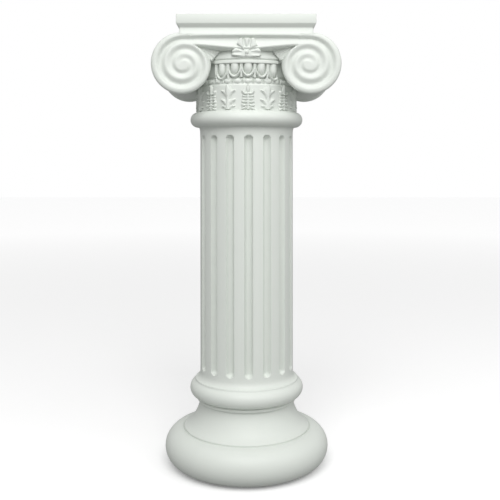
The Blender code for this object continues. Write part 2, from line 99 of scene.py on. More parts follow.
def select_open_edges() -> None:
    """Selects only the edges that bound one face, in edit mode."""
    bpy.ops.mesh.select_all(action="DESELECT")
    bpy.ops.mesh.select_mode(type="EDGE")
    bpy.ops.mesh.select_non_manifold(use_wire=False, use_multi_face=False, use_non_contiguous=False,
                                     use_verts=False)


def turn_outwards() -> None:
    """Selects all faces and turns them outwards, in edit mode."""
    bpy.ops.mesh.select_all(action="SELECT")
    bpy.ops.mesh.normals_make_consistent(inside=False)


def named(name: str) -> bpy.types.Object:
    """Names the object just added, and returns it."""
    piece = bpy.context.active_object
    piece.name = name
    piece.data.name = name
    return piece


def points_of(piece: bpy.types.Object) -> np.ndarray:
    """Returns a piece's vertex places in millimetres, one row each."""
    flat = np.empty(len(piece.data.vertices) * 3)
    piece.data.vertices.foreach_get("co", flat)
    return flat.reshape(-1, 3) / MM


def move_points(piece: bpy.types.Object, points: np.ndarray) -> None:
    """Puts a piece's vertices at new places, given in millimetres."""
    piece.data.vertices.foreach_set("co", (points * MM).ravel())
    piece.data.update()


def closed_up(piece: bpy.types.Object) -> bpy.types.Object:
    """Welds a piece's seams, caps its open ends and turns its faces outwards.

    Args:
        piece: The mesh to close.

    Returns:
        The same piece.
    """
    pick(piece)
    bpy.ops.object.mode_set(mode="EDIT")
    bpy.ops.mesh.select_all(action="SELECT")
    bpy.ops.mesh.remove_doubles(threshold=SEAM_WELD * MM)
    select_open_edges()
    bpy.ops.mesh.fill_holes(sides=0)
    bpy.ops.mesh.select_mode(type="VERT")
    turn_outwards()
    bpy.ops.mesh.select_all(action="DESELECT")
    bpy.ops.object.mode_set(mode="OBJECT")
    return piece


def opened(piece: bpy.types.Object, height: float) -> None:
    """Takes away the flat cap at a height, so that the next length can be welded on.

    Args:
        piece: A closed turned piece.
        height: The height of the cap, in millimetres.
    """
    pick(piece)
    bpy.context.tool_settings.mesh_select_mode = (False, False, True)
    bpy.ops.object.mode_set(mode="EDIT")
    bpy.ops.mesh.select_all(action="DESELECT")
    bpy.ops.object.mode_set(mode="OBJECT")
    for face in piece.data.polygons:
        level = abs(face.normal.z) > LEVEL_NORMAL and face.area > CAP_LEAST_SQUARE_METRES
        face.select = level and bool(abs(face.center.z / MM - height) < CAP_SLACK)
    bpy.ops.object.mode_set(mode="EDIT")
    bpy.ops.mesh.delete(type="FACE")
    bpy.context.tool_settings.mesh_select_mode = (True, False, False)
    bpy.ops.object.mode_set(mode="OBJECT")


def arc(centre: tuple[float, float], radii: tuple[float, float], start: float, stop: float,
        count: int) -> np.ndarray:
    """Draws part of an ellipse.

    Args:
        centre: Its centre.
        radii: Its two radii.
        start: First angle in degrees.
        stop: Last angle in degrees.
        count: How many points it gets.

    Returns:
        The points, one row each.
    """
    turn = np.radians(np.linspace(start, stop, count))
    return np.column_stack([centre[0] + radii[0] * np.cos(turn), centre[1] + radii[1] * np.sin(turn)])


def softened(line: np.ndarray, spacing: float, softness: float) -> np.ndarray:
    """Spaces a line's points evenly and rounds its corners, as worn moulds do.

    Args:
        line: The line's points.
        spacing: Distance between the new points.
        softness: Half-width of the rounding.

    Returns:
        The new points, which keep the two ends.
    """
    length = np.concatenate([[0.0], np.cumsum(np.linalg.norm(np.diff(line, axis=0), axis=1))])
    count = int(length[-1] / spacing) + 2
    even = np.linspace(0.0, length[-1], count)
    line = np.column_stack([np.interp(even, length, line[:, k]) for k in range(line.shape[1])])
    reach = max(1, int(3 * softness / spacing))
    weights = np.exp(-0.5 * (np.arange(-reach, reach + 1) * spacing / softness) ** 2)
    weights /= weights.sum()
    before = 2 * line[0] - line[reach:0:-1]
    after = 2 * line[-1] - line[-2:-reach - 2:-1]
    long = np.vstack([before, line, after])
    return np.column_stack([np.convolve(long[:, k], weights, "valid") for k in range(line.shape[1])])


def thinned(line: np.ndarray, bend: float, longest: Callable[[float], float]) -> np.ndarray:
    """Keeps the points of a profile where it bends, and enough between them.

    Args:
        line: A profile of close points, of radius and height.
        bend: How far it may turn between two kept points, in degrees.
        longest: The longest step allowed at a height.

    Returns:
        The kept points.
    """
    steps = np.diff(line, axis=0)
    heading = np.degrees(np.unwrap(np.arctan2(steps[:, 1], steps[:, 0])))
    lengths = np.hypot(steps[:, 0], steps[:, 1])
    keep, run, last = [0], 0.0, heading[0]
    for index in range(1, len(line) - 1):
        run += lengths[index - 1]
        if abs(heading[index] - last) >= bend or run >= longest(line[index, 1]):
            keep.append(index)
            run, last = 0.0, heading[index]
    return line[keep + [len(line) - 1]]


def turned(name: str, profile: np.ndarray, columns: int, axis: Axis,
           centre: tuple[float, float, float] = (0.0, 0.0, 0.0)) -> bpy.types.Object:
    """Draws a profile point by point and spins it into a closed turned piece.

    Args:
        name: The piece's name.
        profile: Radius and height of each point, in millimetres.
        columns: How many steps the spin takes.
        axis: What it is spun about.
        centre: A point on that axis, in millimetres.

    Returns:
        The piece.
    """
    start_clean()
    middle = Vector(centre) * MM
    along = Vector(axis.value)
    first = middle + Vector((profile[0, 0] * MM, 0.0, 0.0)) + along * (profile[0, 1] * MM)
    bpy.ops.mesh.primitive_plane_add(size=MM, location=first)
    piece = named(name)
    bpy.ops.object.transform_apply(location=True, rotation=True, scale=True)
    bpy.ops.object.mode_set(mode="EDIT")
    bpy.ops.mesh.select_all(action="SELECT")
    bpy.ops.mesh.merge(type="CENTER")
    for out, up in np.diff(profile, axis=0):
        step = Vector((out * MM, 0.0, 0.0)) + along * (up * MM)
        bpy.ops.mesh.extrude_vertices_move(TRANSFORM_OT_translate={"value": step})
    bpy.ops.mesh.select_all(action="SELECT")
    bpy.ops.mesh.spin(steps=columns, angle=math.tau, center=middle, axis=along)
    bpy.ops.object.mode_set(mode="OBJECT")
    return closed_up(piece)


def draped(name: str, across: int, along: int,
           place: Callable[[np.ndarray, np.ndarray], np.ndarray]) -> bpy.types.Object:
    """Adds a grid and lays it over a surface.

    Args:
        name: The piece's name.
        across: Number of squares in the first direction.
        along: Number of squares in the second direction.
        place: Gives the place, in millimetres, of points that run from 0 to 1 both ways.

    Returns:
        The piece, open at its edges.
    """
    start_clean()
    bpy.ops.mesh.primitive_grid_add(x_subdivisions=across, y_subdivisions=along, size=1.0)
    piece = named(name)
    flat = points_of(piece) * MM
    move_points(piece, place(flat[:, 0] + 0.5, flat[:, 1] + 0.5))
    return piece


def turned_to_back(piece: bpy.types.Object) -> bpy.types.Object:
    """Copies a piece of the front face and turns the copy half round, to the back face.

    Args:
        piece: The front piece.

    Returns:
        The back piece, with a mesh of its own.
    """
    pick(piece)
    bpy.ops.object.duplicate()
    copy = named(piece.name.replace("front", "back"))
    bpy.ops.object.mode_set(mode="EDIT")
    bpy.ops.mesh.select_all(action="SELECT")
    bpy.ops.transform.rotate(value=math.pi, orient_axis="Z", center_override=(0.0, 0.0, 0.0))
    bpy.ops.object.mode_set(mode="OBJECT")
    return copy


def soft_step(value: np.ndarray, softness: float) -> np.ndarray:
    """Returns each value where it is positive and zero elsewhere, with a rounded turn."""
    return softness * np.logaddexp(0.0, value / softness)


def dome(distance: np.ndarray) -> np.ndarray:
    """Returns the height of a round-backed ridge, 1 on its crest and 0 from distance 1 on."""
    return np.sqrt(np.clip(1.0 - distance**2, 0.0, 1.0))


def repeated(angle: np.ndarray, pitch: float, start: float = 0.0) -> np.ndarray:
    """Returns how far each angle is from the nearest one of a pattern's centres, in degrees."""
    return (angle - start + pitch / 2) % pitch - pitch / 2


def through(values: tuple[float, ...], position: np.ndarray) -> np.ndarray:
    """Draws a smooth curve through evenly spaced values.

    Args:
        values: The values at 0, 1, 2 and so on.
        position: Where to read the curve.

    Returns:
        The curve's value at each position, held at the first and last value beyond them.
    """
    knots = np.array([2 * values[0] - values[1], *values, 2 * values[-1] - values[-2]])
    position = np.clip(position, 0.0, len(values) - 1.0)
    first = np.clip(np.floor(position).astype(int), 0, len(values) - 2)
    f = position - first
    a, b, c, d = (knots[first + k] for k in range(4))
    return 0.5 * (2 * b + (c - a) * f + (2 * a - 5 * b + 4 * c - d) * f**2
                  + (3 * b - a - 3 * c + d) * f**3)


@dataclass(frozen=True)
class Petal:
    """A leaf or petal with straight sides and rounded shoulders, drawn as a convex outline."""

    corners: tuple[tuple[float, float], ...]
    height: float
    shoulder: float

    def relief(self, across: np.ndarray, up: np.ndarray) -> np.ndarray:
        """Gives the petal's height over a surface.

        Args:
            across: Distance across the pattern of each point.
            up: Height of each point.

        Returns:
            The height at each point, and zero beside the petal.
        """
        corners = np.array(self.corners)
        middle = corners.mean(axis=0)
        inside = np.full(across.shape, np.inf)
        for start, stop in zip(corners, np.roll(corners, -1, axis=0)):
            edge = stop - start
            normal = np.array([-edge[1], edge[0]]) / np.hypot(*edge)
            if normal @ (middle - start) < 0:
                normal = -normal
            inside = np.minimum(inside, (across - start[0]) * normal[0] + (up - start[1]) * normal[1])
        share = np.clip(inside / self.shoulder, 0.0, 1.0)
        return self.height * np.sqrt(1.0 - (1.0 - share) ** 2)


@dataclass(frozen=True)
class Stroke:
    """One raised vein or leaf, drawn as a bent line that swells and narrows."""

    root: tuple[float, float]
    bend: tuple[float, float]
    tip: tuple[float, float]
    widths: tuple[float, float, float]
    height: float
    groove: float = 0.0
    groove_width: float = 0.28
    samples: int = 14

    def relief(self, across: np.ndarray, up: np.ndarray) -> np.ndarray:
        """Gives the stroke's height over a surface.

        Args:
            across: Distance across the pattern of each point.
            up: Height of each point.

        Returns:
            The height at each point, and zero beside the stroke.
        """
        root, bend, tip = (np.array(place) for place in (self.root, self.bend, self.tip))
        best = np.full(across.shape, np.inf)
        for share in np.linspace(0.0, 1.0, self.samples):
            spot = (1 - share) ** 2 * root + 2 * share * (1 - share) * bend + share**2 * tip
            half = np.interp(share, (0.0, 0.5, 1.0), self.widths) / 2
            best = np.minimum(best, np.hypot(across - spot[0], up - spot[1]) / half)
        height = self.height * dome(best)
        if self.groove:
            height = height - self.groove * np.exp(-((best / self.groove_width) ** 2)) * (best < 1.0)
        return height


@dataclass(frozen=True)
class Flutes:
    """The shallow channels cut up the shaft, rounded at both ends."""

    count: int = 16
    width: float = 4.4
    depth: float = 2.7
    foot: float = 54.6
    head: float = 181.7
    turn: float = 2.8
    softness: float = 0.3

    def depth_at(self, angle: np.ndarray, radius: np.ndarray, height: np.ndarray) -> np.ndarray:
        """Gives how deep the shaft is cut.

        Args:
            angle: Angle of each point about the axis, in degrees.
            radius: Its distance from the axis.
            height: Its height.

        Returns:
            The depth at each point.
        """
        half = self.width / 2
        side = np.radians(repeated(angle, 360.0 / self.count, self.turn)) * radius
        beyond = np.maximum(self.foot + half - height, height - self.head + half)
        far = np.hypot(side, np.maximum(beyond, 0.0))
        inside = 1.0 - (far / half) ** 2
        round_cut = self.depth * np.sign(inside) * np.sqrt(np.abs(inside))
        return np.where(far < self.width, soft_step(round_cut, self.softness), 0.0)


@dataclass
class TurnedColumn:
    """The base mouldings, the fluted shaft and the neck ring, turned in one run.

    A torus, bead or ring is given by its centre and radius, and an arc by its first angle, its last
    angle and its number of points. The shaft is given by its foot's radius and height, then its head's.
    """

    flutes: Flutes = field(default_factory=Flutes)
    columns_per_flute: int = 15
    join: tuple[float, float] = (26.05, 194.3)
    underside: float = 30.0
    lower_torus: tuple[float, float, float] = (35.25, 10.45, 10.45)
    lower_torus_arc: tuple[float, float, int] = (-90, 84, 60)
    scotia_foot: tuple[float, float] = (35.0, 20.9)
    scotia_top: tuple[float, float] = (26.0, 36.0)
    scotia_fullness: float = 0.42
    scotia_lip: float = 0.65
    scotia_arc: tuple[float, float, int] = (-90, -180, 40)
    groove: tuple[tuple[float, float], ...] = ((35.7, 20.95), (35.15, 20.35), (34.85, 20.5))
    bead: tuple[float, float, float] = (26.35, 37.15, 1.15)
    bead_arc: tuple[float, float, int] = (-88, 88, 16)
    upper_torus: tuple[float, float, float] = (26.5, 43.4, 5.0)
    upper_torus_arc: tuple[float, float, int] = (-96, 64, 44)
    shaft: tuple[float, float, float, float] = (25.85, 52.8, 24.95, 183.4)
    foot_ledge: tuple[float, float] = (28.5, 48.95)
    foot_arc: tuple[float, float, int] = (-90, -180, 20)
    head_flare: tuple[float, float] = (0.8, 3.0)
    head_arc: tuple[float, float, int] = (180, 90, 12)
    neck_ring: tuple[float, float, float] = (26.2, 190.3, 3.9)
    neck_ring_arc: tuple[float, float, int] = (-85, 75, 40)
    spacing: float = 0.05
    softness: float = 0.13
    bend: float = 10.0
    flute_end: tuple[float, float] = (0.8, 3.4)
    end_step: float = 0.45
    shaft_step: float = 18.0
    plain_step: float = 2.2
    land_from: float = 0.75
    land_edge: float = 5.9
    even_from: float = 3.0
    even_over: float = 4.0

    def profile(self) -> np.ndarray:
        """Draws the outline from the underside up to the top of the neck ring.

        Returns:
            Radius and height of each point.
        """
        out, up, round_by = self.lower_torus
        foot, top = self.scotia_foot, self.scotia_top
        upper_out, upper_up, upper_by = self.upper_torus
        shaft_foot, flare_top, shaft_head, head_z = self.shaft
        ledge_out, ledge_z = self.foot_ledge
        head_out, head_up = self.head_flare
        ring_out, ring_up, ring_by = self.neck_ring
        lip_z = foot[1] + self.scotia_lip
        hollow = arc((foot[0], top[1]), (foot[0] - top[0], top[1] - lip_z), *self.scotia_arc)
        straight = np.linspace(hollow[0], hollow[-1], len(hollow))
        runs = [
            np.array([[self.underside, 0.0]]),
            arc((out, up), (round_by, round_by), *self.lower_torus_arc),
            np.array(self.groove),
            hollow + (straight - hollow) * self.scotia_fullness,
            arc(self.bead[:2], (self.bead[2], self.bead[2]), *self.bead_arc),
            arc((upper_out, upper_up), (upper_by, upper_by), *self.upper_torus_arc),
            arc((ledge_out, flare_top), (ledge_out - shaft_foot, flare_top - ledge_z), *self.foot_arc),
            np.array([[shaft_head, head_z]]),
            arc((shaft_head + head_out, head_z), (head_out, head_up), *self.head_arc),
            arc((ring_out, ring_up), (ring_by, ring_by), *self.neck_ring_arc),
            np.array([self.join]),
        ]
        close = softened(np.vstack(runs), self.spacing, self.softness)
        low, high = self.flutes.foot, self.flutes.head
        past, within = self.flute_end

        def longest(height: float) -> float:
            """Returns the longest step at a height: short where the flutes end."""
            if low - past < height < low + within or high - within < height < high + past:
                return self.end_step
            return self.shaft_step if low < height < high else self.plain_step

        return thinned(close, self.bend, longest)

    def build(self) -> bpy.types.Object:
        """Turns the outline, gathers its columns at the flutes and cuts the flutes.

        Above the shaft the columns are spread evenly again, to meet those of the carved neck.

        Returns:
            The piece, open at its top, with twice as many points round that edge.
        """
        columns = self.columns_per_flute * self.flutes.count
        piece = turned("column_body", self.profile(), columns, Axis.UPRIGHT)
        points = points_of(piece)
        radius = np.hypot(points[:, 0], points[:, 1])
        angle = np.degrees(np.arctan2(points[:, 0], -points[:, 1]))
        pitch = 360.0 / self.flutes.count
        inside = repeated(angle, pitch)
        half, land = pitch / 2, self.land_from * pitch / 2
        near = np.interp(inside, (-half, -land, land, half), (-half, -self.land_edge, self.land_edge, half))
        even = np.clip((points[:, 2] - self.shaft[3] - self.even_from) / self.even_over, 0.0, 1.0)
        turn = self.flutes.turn + (CARVING_TURN - self.flutes.turn) * even
        angle = angle + (near - inside) * (1.0 - even) + turn
        radius = radius - self.flutes.depth_at(angle, radius, points[:, 2])
        turn = np.radians(angle)
        move_points(piece, np.column_stack([radius * np.sin(turn), -radius * np.cos(turn), points[:, 2]]))
        opened(piece, self.join[1])
        bpy.ops.object.mode_set(mode="EDIT")
        select_open_edges()
        bpy.ops.mesh.subdivide(number_cuts=1)
        bpy.ops.mesh.select_mode(type="VERT")
        bpy.ops.object.mode_set(mode="OBJECT")
        return piece


@dataclass(frozen=True)
class EggBand:
    """Eggs in their shells with a dart between each two, hanging lower towards the volutes.

    An egg and a shell are given by half width, half height and relief, and a dart by its half widths
    at the top and the tip and its relief.
    """

    count: int = 24
    radius: float = 25.0
    sag: float = 6.0
    sag_until: float = 38.0
    egg: tuple[float, float, float] = (2.1, 3.6, 2.4)
    egg_centre: float = 215.7
    top_squash: float = 0.35
    shell: tuple[float, float, float] = (2.9, 4.5, 1.9)
    shell_squareness: float = 1.8
    shell_ridge: float = 0.5
    dart_tip: float = 210.6
    dart_foot: float = 0.2
    dart: tuple[float, float, float] = (0.4, 0.8, 1.5)

    def relief(self, angle: np.ndarray, up: np.ndarray) -> np.ndarray:
        """Gives the carving's height over the band's ground.

        Args:
            angle: Angle of each point about the axis, in degrees.
            up: Its height.

        Returns:
            The height at each point.
        """
        pitch = 360.0 / self.count
        side = np.radians(repeated(angle, pitch, CARVING_TURN)) * self.radius
        between = np.radians(repeated(angle, pitch, CARVING_TURN + pitch / 2)) * self.radius
        aside = np.radians(np.abs(repeated(angle, 180.0)).clip(max=self.sag_until))
        up = up + self.sag * np.sin(aside) ** 2
        drop = (up - self.egg_centre) * np.where(up < self.egg_centre, 1.0, self.top_squash)
        egg = self.egg[2] * dome(np.hypot(side / self.egg[0], drop / self.egg[1]))
        bulge = (np.abs(side) / self.shell[0]) ** self.shell_squareness
        reach = np.sqrt(bulge + (drop / self.shell[1]) ** 2)
        ridge = self.shell[2] * dome((reach - 1.0) * self.shell[0] / self.shell_ridge)
        share = np.clip((self.egg_centre - up) / (self.egg_centre - self.dart_tip), 0.0, 1.0)
        half = self.dart[0] + (self.dart[1] - self.dart[0]) * share
        dart = self.dart[2] * dome(between / half) * (up > self.dart_tip - self.dart_foot)
        return np.maximum.reduce([egg, ridge, dart])


@dataclass(frozen=True)
class BeadBand:
    """Long beads with a pair of thin reels between each two.

    A bead is given by half width, half height and relief, and a reel by its distance from the bead's
    middle, half width, half height and relief.
    """

    count: int = 30
    radius: float = 25.4
    centre: float = 208.7
    bead: tuple[float, float, float] = (1.85, 1.3, 0.95)
    reel: tuple[float, float, float, float] = (2.35, 0.28, 1.25, 0.85)

    def relief(self, angle: np.ndarray, up: np.ndarray) -> np.ndarray:
        """Gives the carving's height over the band's ground.

        Args:
            angle: Angle of each point about the axis, in degrees.
            up: Its height.

        Returns:
            The height at each point.
        """
        side = np.abs(np.radians(repeated(angle, 360.0 / self.count, CARVING_TURN)) * self.radius)
        lift = up - self.centre
        bead = self.bead[2] * dome(np.hypot(side / self.bead[0], lift / self.bead[1]))
        place, half, tall, proud = self.reel
        reel = proud * dome(np.hypot((side - place) / half, lift / tall))
        return np.maximum(bead, reel)


@dataclass(frozen=True)
class LeafBand:
    """Ferns and spear-headed stalks in turn round the necking."""

    pairs: int = 8
    radius: float = 26.05
    half_width: float = 5.2

    def fern(self) -> list[Stroke]:
        """Returns the strokes of a fern's stem and of the curled leaflets on its right."""
        return [
            Stroke((0.0, 193.0), (0.0, 199.0), (0.0, 205.0), (1.6, 1.3, 1.0), 1.1, 0.12),
            Stroke((0.0, 203.6), (0.0, 205.3), (0.0, 207.0), (1.4, 1.9, 0.4), 1.2),
            Stroke((0.3, 202.4), (2.0, 201.9), (2.5, 203.4), (0.7, 1.0, 1.4), 1.2),
            Stroke((0.3, 201.1), (1.4, 200.9), (2.4, 201.2), (1.0, 1.0, 1.2), 0.85),
            Stroke((0.3, 199.8), (1.4, 199.5), (2.4, 199.8), (1.0, 1.0, 1.2), 0.85),
            Stroke((0.3, 198.4), (1.5, 197.8), (2.55, 198.4), (0.9, 0.9, 1.3), 1.0),
            Stroke((0.3, 196.9), (1.6, 196.2), (2.65, 196.7), (0.9, 1.0, 1.5), 1.15),
            Stroke((0.3, 195.6), (1.4, 195.5), (2.5, 194.8), (0.9, 1.0, 1.3), 1.0),
        ]

    def spear(self) -> list[Stroke]:
        """Returns the strokes of the right half of a spear-headed stalk, and its stem."""
        return [
            Stroke((0.0, 193.0), (0.0, 197.0), (0.0, 202.0), (2.2, 1.8, 1.7), 1.4, 0.1),
            Stroke((0.0, 201.6), (0.0, 204.2), (0.0, 206.9), (1.6, 3.4, 0.5), 1.6),
            Stroke((0.4, 200.3), (1.0, 203.3), (3.4, 203.9), (1.3, 1.9, 0.9), 1.05),
            Stroke((0.3, 195.6), (0.9, 198.8), (3.6, 199.3), (1.4, 2.0, 0.9), 1.05),
            Stroke((0.4, 193.9), (0.9, 196.6), (3.2, 196.2), (1.3, 1.7, 0.8), 1.0),
        ]

    def relief(self, angle: np.ndarray, up: np.ndarray) -> np.ndarray:
        """Gives the carving's height over the band's ground.

        Args:
            angle: Angle of each point about the axis, in degrees.
            up: Its height.

        Returns:
            The height at each point.
        """
        pitch = 360.0 / self.pairs
        height = np.zeros_like(up)
        for strokes, start in ((self.fern(), 0.0), (self.spear(), pitch / 2)):
            side = np.abs(np.radians(repeated(angle, pitch, CARVING_TURN + start)) * self.radius)
            near = side < self.half_width
            found = [stroke.relief(side[near], up[near]) for stroke in strokes]
            height[near] = np.maximum(height[near], np.maximum.reduce(found))
        return height


@dataclass
class CarvedNeck:
    """The drum above the neck ring, with its leaves, beads and eggs carved on it.

    Behind the volutes the drum is drawn in to a plain radius, and the eggs fade out. The corner gives
    the angles where this starts and is full, and that radius.
    """

    leaves: LeafBand = field(default_factory=LeafBand)
    beads: BeadBand = field(default_factory=BeadBand)
    eggs: EggBand = field(default_factory=EggBand)
    leaves_top: float = 207.4
    beads_span: tuple[float, float] = (207.2, 210.3)
    eggs_span: tuple[float, float] = (208.2, 217.1)
    foot_fade: float = 0.3
    least_relief: float = 0.01
    columns: int = 480
    spacing: float = 0.06
    softness: float = 0.12
    bend: float = 16.0
    row: float = 0.34
    plain_from: float = 217.4
    plain_row: float = 1.4
    split: float = 203.0
    outline: tuple[tuple[float, float], ...] = (
        (26.05, 194.3), (26.05, 206.7), (25.5, 207.3), (25.4, 209.9), (24.5, 210.1), (24.5, 210.8),
        (24.9, 211.1), (25.0, 217.1), (27.1, 217.2), (27.35, 217.4), (27.35, 218.75), (27.1, 218.95),
        (26.4, 219.0), (26.4, 219.2), (26.95, 219.4), (27.1, 219.9), (26.9, 220.9), (26.2, 222.2),
        (25.3, 223.8), (24.6, 226.0), (24.0, 228.0))
    corner: tuple[float, float, float] = (36.5, 40.5, 24.9)
    corner_foot: float = 210.6
    corner_fade: float = 0.4

    def length(self, name: str, profile: np.ndarray) -> bpy.types.Object:
        """Turns one length of the drum and raises the carving on it.

        Args:
            name: The piece's name.
            profile: Radius and height of its rows.

        Returns:
            The closed piece.
        """
        piece = turned(name, profile, self.columns, Axis.UPRIGHT)
        points = points_of(piece)
        up = points[:, 2]
        radius = np.hypot(points[:, 0], points[:, 1])
        angle = np.degrees(np.arctan2(points[:, 0], -points[:, 1])) + CARVING_TURN
        foot = self.outline[0][1]
        start, stop, sunk = self.corner
        beside = np.clip((90.0 - np.abs(repeated(angle, 180.0, 90.0)) - start) / (stop - start), 0.0, 1.0)
        bands = ((self.leaves, foot, self.leaves_top), (self.beads, *self.beads_span),
                 (self.eggs, *self.eggs_span))
        for band, low, high in bands:
            here = (up > low) & (up < high)
            raised = band.relief(angle[here], up[here])
            raised = raised * np.clip((up[here] - foot) / self.foot_fade, 0.0, 1.0)
            if band is self.eggs:
                raised = raised * (1.0 - beside[here])
            carved = np.maximum(radius[here], band.radius + raised)
            radius[here] = np.where(raised > self.least_relief, carved, radius[here])
        deep = np.clip((up - self.corner_foot) / self.corner_fade, 0.0, 1.0) * beside
        radius = radius - np.maximum(radius - sunk, 0.0) * deep
        turn = np.radians(angle)
        move_points(piece, np.column_stack([radius * np.sin(turn), -radius * np.cos(turn), up]))
        return piece

    def build(self) -> tuple[bpy.types.Object, bpy.types.Object]:
        """Makes the drum in two lengths, so that only the upper one is cut by the capital.

        Returns:
            The lower length, open at both ends, and the upper one, closed.
        """
        close = softened(np.array(self.outline), self.spacing, self.softness)
        rows = thinned(close, self.bend,
                       lambda height: self.row if height < self.plain_from else self.plain_row)
        middle = int(np.argmin(np.abs(rows[:, 1] - self.split)))
        lower = self.length("carved_neck_lower", rows[:middle + 1])
        upper = self.length("carved_neck_upper", rows[middle:])
        for end in (rows[0, 1], rows[middle, 1]):
            opened(lower, end)
        return lower, upper


@dataclass(frozen=True)
class ScrollFace:
    """The moulded face of the scroll: its top rim, hollow channel, lip and two spirals.

    The spirals are given at every quarter turn, from the top of the volute outwards and down. Of two
    values for the channel, the first is for its middle and the second for its ends.
    """

    centre: tuple[float, float] = (31.5, 216.4)
    ridges: tuple[float, ...] = (14.0, 13.8, 12.1, 11.6, 10.0, 8.6, 7.0, 6.6, 5.0, 3.6, 2.4)
    grooves: tuple[float, ...] = (12.4, 11.4, 9.7, 9.2, 7.4, 5.6, 4.3, 4.4, 2.9, 2.2)
    depths: tuple[float, ...] = (1.5, 1.5, 1.4, 1.3, 1.2, 1.05, 0.9, 0.8, 0.4, 0.0)
    laps: int = 3
    least_wall: float = 1.6
    crest: float = 28.5
    edge_turns: tuple[float, ...] = (0.0, 0.5, 0.68, 0.8, 0.9, 1.0)
    edge_widths: tuple[float, ...] = (2.4, 2.4, 2.2, 1.3, 0.9, 0.9)
    fall_turns: tuple[float, float] = (0.68, 0.8)
    falls: tuple[float, float] = (0.9, 2.4)
    deepest: float = 4.2
    rim: tuple[float, float] = (230.75, 230.4)
    hollow: tuple[float, float] = (229.3, 228.7)
    hollow_depth: tuple[float, float] = (1.65, 1.45)
    hollow_curve: float = 2.2
    blend_from: float = 0.6
    lip: tuple[float, float] = (224.75, 226.45)
    lip_reach: float = 27.8
    lip_crest: float = 28.25
    lip_round: float = 0.9
    undercut: float = 4.0

    def lip_at(self, across: np.ndarray) -> np.ndarray:
        """Returns the height of the lip's crest at each distance across."""
        share = np.clip(np.abs(across) / self.lip_reach, 0.0, 1.0)
        return self.lip[0] + (self.lip[1] - self.lip[0]) * np.sin(share * math.pi / 2) ** 2

    def spirals(self, across: np.ndarray, up: np.ndarray) -> np.ndarray:
        """Gives how far forward the face stands in and near the volutes.

        Args:
            across: Distance across of each point.
            up: Its height.

        Returns:
            The distance of the face from the middle of the capital.
        """
        side, rise = np.abs(across) - self.centre[0], up - self.centre[1]
        reach = np.hypot(side, rise)
        part = (np.arctan2(side, rise) / math.tau) % 1.0
        sunk = np.zeros_like(reach)
        for lap in range(self.laps):
            turn = part + lap
            groove = through(self.grooves, 4 * turn)
            outer, inner = through(self.ridges, 4 * turn), through(self.ridges, 4 * turn + 4)
            inner = np.minimum(inner, groove - self.least_wall)
            share = np.where(reach > groove, (reach - groove) / (outer - groove),
                             (groove - reach) / (groove - inner))
            hollow = np.cos(math.pi / 2 * np.clip(share, 0.0, 1.0)) ** 2
            sunk = np.maximum(sunk, through(self.depths, 4 * turn) * hollow)
        beyond = np.maximum(reach - through(self.ridges, 4 * part), 0.0)
        width = np.interp(part, self.edge_turns, self.edge_widths)
        steep = np.interp(part, self.fall_turns, self.falls)
        return self.crest - sunk - np.minimum(steep * (beyond / width) ** 2, self.deepest)

    def channel(self, across: np.ndarray, up: np.ndarray) -> np.ndarray:
        """Gives how far forward the channel between the volutes stands, down to the lip.

        Args:
            across: Distance across of each point.
            up: Its height.

        Returns:
            The distance of the face from the middle of the capital.
        """
        out = np.clip(np.abs(across) / self.centre[0], 0.0, 1.0)
        blend = np.clip((out - self.blend_from) / (1.0 - self.blend_from), 0.0, 1.0)
        rim = self.rim[0] + (self.rim[1] - self.rim[0]) * blend
        floor = self.hollow[0] + (self.hollow[1] - self.hollow[0]) * out**2
        lip = self.lip_at(across)
        crest = self.lip_crest + (self.crest - self.lip_crest) * out
        deep = self.hollow_depth[0] + (self.hollow_depth[1] - self.hollow_depth[0]) * out**2
        above = self.crest - deep * np.cos(math.pi / 2 * np.clip((up - floor) / (rim - floor), 0, 1)) ** 2
        share = np.clip((floor - up) / (floor - lip), 0.0, 1.0)
        scoop = (1.0 - share**self.hollow_curve) * (1.0 - blend) + np.cos(math.pi / 2 * share) ** 2 * blend
        below = crest - (crest - self.crest + deep) * scoop
        under = np.maximum(lip - up, 0.0)
        rounded = self.lip_round - np.sqrt(np.maximum(self.lip_round**2 - under**2, 0.0))
        cut_back = self.lip_round + self.undercut * (under - self.lip_round)
        drop = np.where(under < self.lip_round, rounded, cut_back)
        return np.where(up > floor, above, below) - np.minimum(drop, self.deepest)

    def front(self, across: np.ndarray, up: np.ndarray) -> np.ndarray:
        """Gives how far forward the whole face stands.

        Args:
            across: Distance across of each point.
            up: Its height.

        Returns:
            The distance of the face from the middle of the capital.
        """
        between = np.abs(across) < self.centre[0]
        return np.where(between, np.maximum(self.spirals(across, up), self.channel(across, up)),
                        self.spirals(across, up))


